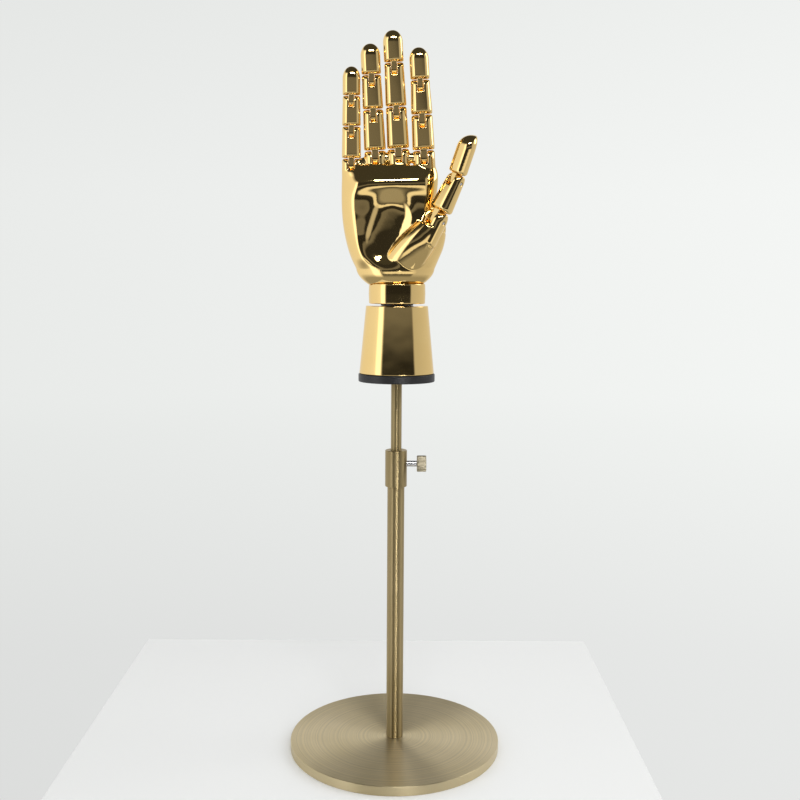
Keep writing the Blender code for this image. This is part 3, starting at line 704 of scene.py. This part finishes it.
# fingers from the little finger's side: knuckle widths, groove-to-groove lengths,
# gap to the neighbour, groove height above the wrist pin, lean in degrees
fingers = {
    "little": ((0.0174, 0.0168, 0.0160), (0.0283, 0.0267, 0.0256), 0.0, 0.0986, 0.0),
    "ring": ((0.0198, 0.0186, 0.0176), (0.0362, 0.0302, 0.0271), 0.0026, 0.1056, 3.0),
    "middle": ((0.0200, 0.0190, 0.0177), (0.0370, 0.0383, 0.0281), 0.0010, 0.1074, 3.3),
    "index": ((0.0202, 0.0193, 0.0174), (0.0313, 0.0304, 0.0282), 0.0027, 0.1063, 3.5),
}
knuckle_row_left = -0.0505
finger_places = {}
edge = knuckle_row_left
for name, (widths, lengths, gap, height, lean) in fingers.items():
    centre = edge + gap + widths[0] / 2
    edge = centre + widths[0] / 2
    groove = (Matrix.Translation((centre, 0, wrist + height))
              @ Matrix.Rotation(-math.radians(lean), 4, "Y"))
    finger_places[name] = groove @ Matrix.Translation((0, 0, -groove_drop(knuckle(widths[0]))))

thumb_widths = (0.0226, 0.0184)
thumb_groove = Matrix.Translation((0.0378, -0.0165, wrist + 0.0512))
thumb_lean = Matrix.Rotation(math.radians(26), 4, "Y")
thumb_place = (thumb_groove @ thumb_lean @ Matrix.Rotation(math.radians(-45), 4, "Z")
               @ Matrix.Translation((0, 0, -groove_drop(knuckle(thumb_widths[0])))))

palm_columns = 144
palm_rings = heel_rings(0.0, 90, palm_columns, 24)
palm_rows = 96
palm_height = palm_stations[-1][0]
for row in range(palm_rows + 1):
    palm_rings.append(palm_ring(palm_height * row / palm_rows, palm_columns))
lugs = []
forks = []
for name, (widths, lengths, gap, height, lean) in fingers.items():
    size = knuckle(widths[0])
    root = knuckled_bar(-lug_root, size, 0.0, size)
    lugs.append(tool(name + "_lug", root, finger_places[name]))
    forks += fork_tools(name + "_fork", size, finger_places[name])
size = knuckle(thumb_widths[0])
lugs.append(tool("thumb_lug", knuckled_bar(-thumb_lug_root, size, 0.0, size), thumb_place))
foot = Vector(thenar_foot) + Vector((0.0, 0.0, wrist))
mound = []
for share in [step / 40 * thenar_stations[-1][0] for step in range(41)]:
    half_width, half_depth = between(thenar_stations, share)
    centre = foot + (thumb_place.translation - foot) * share
    ring = []
    for step in range(72):
        across, depth = oval_point(2 * math.pi * step / 72, 2.0)
        ring.append(centre + thumb_lean @ Vector((half_width * across, -half_depth * depth, 0.0)))
    mound.append(ring)
lugs.append(tool("thenar", skinned(mound), Matrix.Identity(4)))
finger_pins = [finger_places[name].translation for name in fingers]
for start, end in zip(finger_pins, finger_pins[1:]):
    lie = (end - start).to_track_quat("X", "Z").to_matrix().to_4x4()
    half_length = (end - start).length / 2
    lugs.append(tool("web", bar_along_x(web_radius, half_length),
                     Matrix.Translation((start + end) / 2) @ lie))
forks += fork_tools("thumb_fork", size, thumb_place)
eye_pocket = box_body((-0.0051, -0.0147, -0.044), (0.0051, 0.0147, 0.0071))
forks.append(tool("eye_pocket", eye_pocket, upright))
forks.append(tool("wrist_pin_hole", bar_along_x(0.0023, 0.0223), upright))
palm = cast("palm_shell", skinned(palm_rings), upright, lugs, forks, 0.00062, 8)
fitted(palm, "hand", "palm", gold)
for name in list(fingers) + ["thumb"]:
    finish_node(name + "_knuckle_pin", steel)


# Fingers. Three plated mouldings each. A round-ended tongue under each piece sits in the
# fork of the piece below it, and a steel pin through both is stiff enough to hold a pose.
finger_grain = 0.00042
finger_passes = 6
finger_dome = 0.011
finger_dome_lean = 0.0015


def tongue(name, size, place):
    """The flat tongue under a piece, round about its pin."""
    radius = size[1] * tongue_radius_share
    half = size[0] * tongue_share
    top = 2 * size[1] + knuckle_gap
    turns = 32
    outline = [(radius, top), (-radius, top)]
    for step in range(turns + 1):
        angle = math.pi + math.pi * step / turns
        outline.append((radius * math.cos(angle), radius * math.sin(angle)))
    rings = [[(x, y, z) for y, z in outline] for x in (-half, half)]
    return tool(name, skinned(rings), place)


def phalanx(name, lower, upper, length, place):
    """A piece between two knuckles, from its pin to the pin above."""
    bar = knuckled_bar(lower[1] + knuckle_gap, lower, length, upper)
    head = place @ Matrix.Translation((0, 0, length))
    cuts = fork_tools(name, upper, head)
    cuts.append(tool(name + "_tongue_hole", bar_along_x(pin_radius + seat, lower[0]), place))
    piece = cast(name + "_shell", bar, place, [tongue(name + "_tongue", lower, place)], cuts,
                 finger_grain, finger_passes)
    fitted(piece, name, name, gold)
    return head


def tip_body(lower, top, dome, shift, columns=72, count=14, dome_rows=26):
    """A last piece: a round foot, then a dome that leans to the nail's side."""
    rings = foot_rings(lower[1] + knuckle_gap, lower, columns, count)
    for step in range(dome_rows):
        rise = math.radians(90 * (step + 0.12) / (dome_rows + 0.12))
        keep = math.cos(rise)
        power = 2.0 + (finger_power - 2.0) * keep
        rings.append(ring_of(top - dome + dome * math.sin(rise), 0.0, lower[0] * keep,
                             lower[1] * keep, power, columns, shift=shift * (1 - keep)))
    return skinned(rings)


def fingertip(name, lower, length, dome, shift, place):
    """The last piece of a finger."""
    cuts = [tool(name + "_tongue_hole", bar_along_x(pin_radius + seat, lower[0]), place)]
    piece = cast(name + "_shell", tip_body(lower, length, dome, shift), place,
                 [tongue(name + "_tongue", lower, place)], cuts, finger_grain, finger_passes)
    fitted(piece, name, name, gold)


for name, (widths, lengths, gap, height, lean) in fingers.items():
    sizes = [knuckle(width) for width in widths]
    drops = [groove_drop(size) for size in sizes]
    place = finger_places[name]
    for part, index in (("_proximal", 0), ("_middle", 1)):
        length = lengths[index] + drops[index] - drops[index + 1]
        place = phalanx(name + part, sizes[index], sizes[index + 1], length, place)
        finish_node(name + part + "_pin", steel)
    fingertip(name + "_distal", sizes[2], lengths[2] + drops[2], finger_dome,
              finger_dome_lean, place)

# Thumb. Two plated mouldings on hinges that are turned towards the palm, the last one cut
# off at a slant from its nail to its pad.
thumb_lengths = (0.0360, 0.0365)
thumb_sizes = [knuckle(width) for width in thumb_widths]
thumb_drops = [groove_drop(size) for size in thumb_sizes]
thumb_bend = Matrix.Rotation(math.radians(11), 4, "X")
thumb_dome = 0.013
thumb_dome_lean = 0.0072
thumb_head = phalanx("thumb_proximal", thumb_sizes[0], thumb_sizes[1],
                     thumb_lengths[0] + thumb_drops[0] - thumb_drops[1], thumb_place)
finish_node("thumb_proximal_pin", steel)
fingertip("thumb_distal", thumb_sizes[1], thumb_lengths[1] + thumb_drops[1], thumb_dome,
          thumb_dome_lean, thumb_head @ thumb_bend)

# Plinth. The stand is on a white painted plinth about 0.54 m wide, which isn't part of it.
# Its edges are broken a little.
plinth_left = -0.306
plinth_right = 0.2345
plinth_back = 0.281
plinth_front = -0.253
plinth_height = 0.90
plinth = bpy.data.objects.new("plinth", bpy.data.meshes.new("plinth"))
bpy.context.scene.collection.objects.link(plinth)
plinth_body = box_body((plinth_left, plinth_front, -plinth_height),
                       (plinth_right, plinth_back, 0.0))
plinth_body.to_mesh(plinth.data)
plinth_body.free()
plinth_edge = plinth.modifiers.new("edge", "BEVEL")
plinth_edge.width = 0.001
plinth_edge.segments = 2
paint, paint_tree, paint_shader = new_finish("plinth_paint", 0.0, 0.55)
paint_place = add_node(paint_tree, "ShaderNodeTexCoord").outputs["Object"]
paint_tone = mottled(paint_tree, cloudy(paint_tree, paint_place, 3.0, 2.0),
                     (0.86, 0.87, 0.865), (0.88, 0.89, 0.885))
paint_tree.links.new(paint_tone, paint_shader.inputs["Base Color"])
plinth.data.materials.append(paint)

# Studio. Pale walls at both sides, a dark end behind the camera and a dark ceiling are
# what the gold and the brass mirror. The camera sees only a pale backdrop, with painted
# light and shade on it: lighter towards +X and near the horizon. Matt surfaces get an
# even soft light.
world = bpy.data.worlds.new("studio")
bpy.context.scene.world = world
world.use_nodes = True
sky = world.node_tree
sky.nodes.clear()
direction = add_node(sky, "ShaderNodeTexCoord").outputs["Generated"]
sides = add_node(sky, "ShaderNodeSeparateXYZ", [(0, direction)])
toward_camera = add_node(sky, "ShaderNodeMath", [(0, sides.outputs["Y"])], operation="MULTIPLY")
toward_camera.inputs[1].default_value = -1.0
turn = add_node(sky, "ShaderNodeMath",
                [(0, sides.outputs["X"]), (1, toward_camera.outputs[0])], operation="ARCTAN2")
turn_share = stretched(sky, turn.outputs[0], -math.pi, math.pi)
rise = add_node(sky, "ShaderNodeMath", [(0, sides.outputs["Z"])], operation="ARCSINE")
rise_share = stretched(sky, rise.outputs[0], -math.pi / 2, math.pi / 2)


def ramp(source, full_turn, stops):
    """Colours by angle: a stop is (degrees, colour), and a plain number is a grey."""
    made = add_node(sky, "ShaderNodeValToRGB", [(0, source)])
    elements = made.color_ramp.elements
    placed = []
    for degrees, colour in stops:
        levels = colour if isinstance(colour, tuple) else (colour, colour, colour)
        placed.append((0.5 + degrees / full_turn, (*levels, 1.0)))
    elements[0].position, elements[0].color = placed[0]
    elements[1].position, elements[1].color = placed[-1]
    for position, colour in placed[1:-1]:
        elements.new(position).color = colour
    return made.outputs["Color"]


def by_turn(*stops):
    """Colours round the stand, in degrees from the camera's side, positive towards +X."""
    return ramp(turn_share, 360, stops)


def by_height(*stops):
    """Colours in degrees above the horizon."""
    return ramp(rise_share, 180, stops)


def laid_over(under, mask, colour):
    """A colour laid over what is there, where its mask is 1."""
    mix = add_node(sky, "ShaderNodeMix", [(0, mask), (6, under)], data_type="RGBA")
    mix.inputs[7].default_value = (*colour, 1.0)
    return mix.outputs[2]


around = by_turn((-180, 0.80), (-75, 0.92), (-60, 1.0), (-54, 1.7), (-43, 1.7), (-36, 0.9),
                 (42, 0.50), (50, 0.56), (90, 0.64), (180, 0.80))
dark_mask = by_turn((-180, 0.0), (-42, 0.0), (-36, 1.0), (44, 1.0), (49, 0.0), (180, 0.0))
dark_end = by_height((-90, 0.10), (-15, 0.05), (3, 0.02), (6, 0.19), (11, 0.17), (17, 0.03),
                     (90, 0.03))
walls = add_node(sky, "ShaderNodeMix", [(0, dark_mask), (6, around), (7, dark_end)],
                 data_type="RGBA").outputs[2]
ceiling_mask = by_height((0, 0.0), (34, 0.0), (44, 1.0), (90, 1.0))
floor_mask = by_height((-90, 1.0), (-40, 1.0), (-25, 0.0), (0, 0.0))
table_sides = by_turn((-180, 0.0), (-38, 0.0), (-30, 1.0), (44, 1.0), (54, 0.0), (180, 0.0))
table_rows = by_height((-90, 0.0), (-25, 0.0), (-21, 1.0), (-13, 1.0), (-9, 0.0), (90, 0.0))
table_mask = add_node(sky, "ShaderNodeMath", [(0, table_sides), (1, table_rows)],
                      operation="MULTIPLY").outputs[0]
room = laid_over(walls, ceiling_mask, (0.05, 0.05, 0.045))
room = laid_over(room, floor_mask, (0.36, 0.36, 0.35))
room = laid_over(room, table_mask, (0.95, 0.94, 0.90))
# Painted light and shade on the backdrop: darker away from the horizon, lighter towards +X.
backdrop = by_height((-90, (0.66, 0.67, 0.66)), (-20, (0.78, 0.79, 0.78)),
                     (-9, (0.85, 0.867, 0.85)), (-7, (0.87, 0.887, 0.87)),
                     (4, (0.88, 0.895, 0.88)), (16, (0.83, 0.845, 0.83)),
                     (90, (0.80, 0.815, 0.80)))
backdrop_painted_light = stretched(sky, sides.outputs["X"], -0.38, 0.38, 0.93, 1.03)
ray = add_node(sky, "ShaderNodeLightPath")
mirrored = add_node(sky, "ShaderNodeBackground", [("Color", room)])
seen = add_node(sky, "ShaderNodeBackground",
                [("Color", backdrop), ("Strength", backdrop_painted_light)])
soft = add_node(sky, "ShaderNodeBackground")
soft.inputs["Color"].default_value = (1.0, 1.0, 0.99, 1.0)
soft.inputs["Strength"].default_value = 0.72
glossy_or_soft = add_node(sky, "ShaderNodeMixShader",
                          [(0, ray.outputs["Is Glossy Ray"]), (1, soft.outputs[0]),
                           (2, mirrored.outputs[0])])
camera_or_rest = add_node(sky, "ShaderNodeMixShader",
                          [(0, ray.outputs["Is Camera Ray"]), (1, glossy_or_soft.outputs[0]),
                           (2, seen.outputs[0])])
add_node(sky, "ShaderNodeOutputWorld", [("Surface", camera_or_rest.outputs[0])])


# Lamps. A wide softbox hangs high in front and a large one stands at the right. A third,
# low in front, has a grid that keeps its light on the brass post and off the hand.
def softbox(name, place, aim, width, height, power, grid_angle):
    """A soft lamp that faces a point; its grid keeps the light within an angle."""
    light = bpy.data.lights.new(name, "AREA")
    light.shape = "RECTANGLE"
    light.size = width
    light.size_y = height
    light.energy = power
    light.spread = math.radians(grid_angle)
    lamp = bpy.data.objects.new(name, light)
    bpy.context.scene.collection.objects.link(lamp)
    facing = (Vector(place) - Vector(aim)).to_track_quat("Z", "Y").to_matrix().to_4x4()
    lamp.matrix_world = Matrix.Translation(place) @ facing


softbox("key_softbox", place=(0.12, -0.96, 1.50), aim=(0.0, 0.0, 0.35), width=0.66,
        height=0.20, power=7.0, grid_angle=180.0)
softbox("post_softbox", place=(0.29, -1.08, 0.22), aim=(0.0, 0.0, 0.18), width=0.50,
        height=0.12, power=0.15, grid_angle=26.0)
softbox("side_softbox", place=(1.30, 0.10, 1.20), aim=(0.0, 0.0, 0.20), width=0.60,
        height=0.90, power=4.5, grid_angle=180.0)

bpy.context.scene.view_settings.view_transform = "Standard"
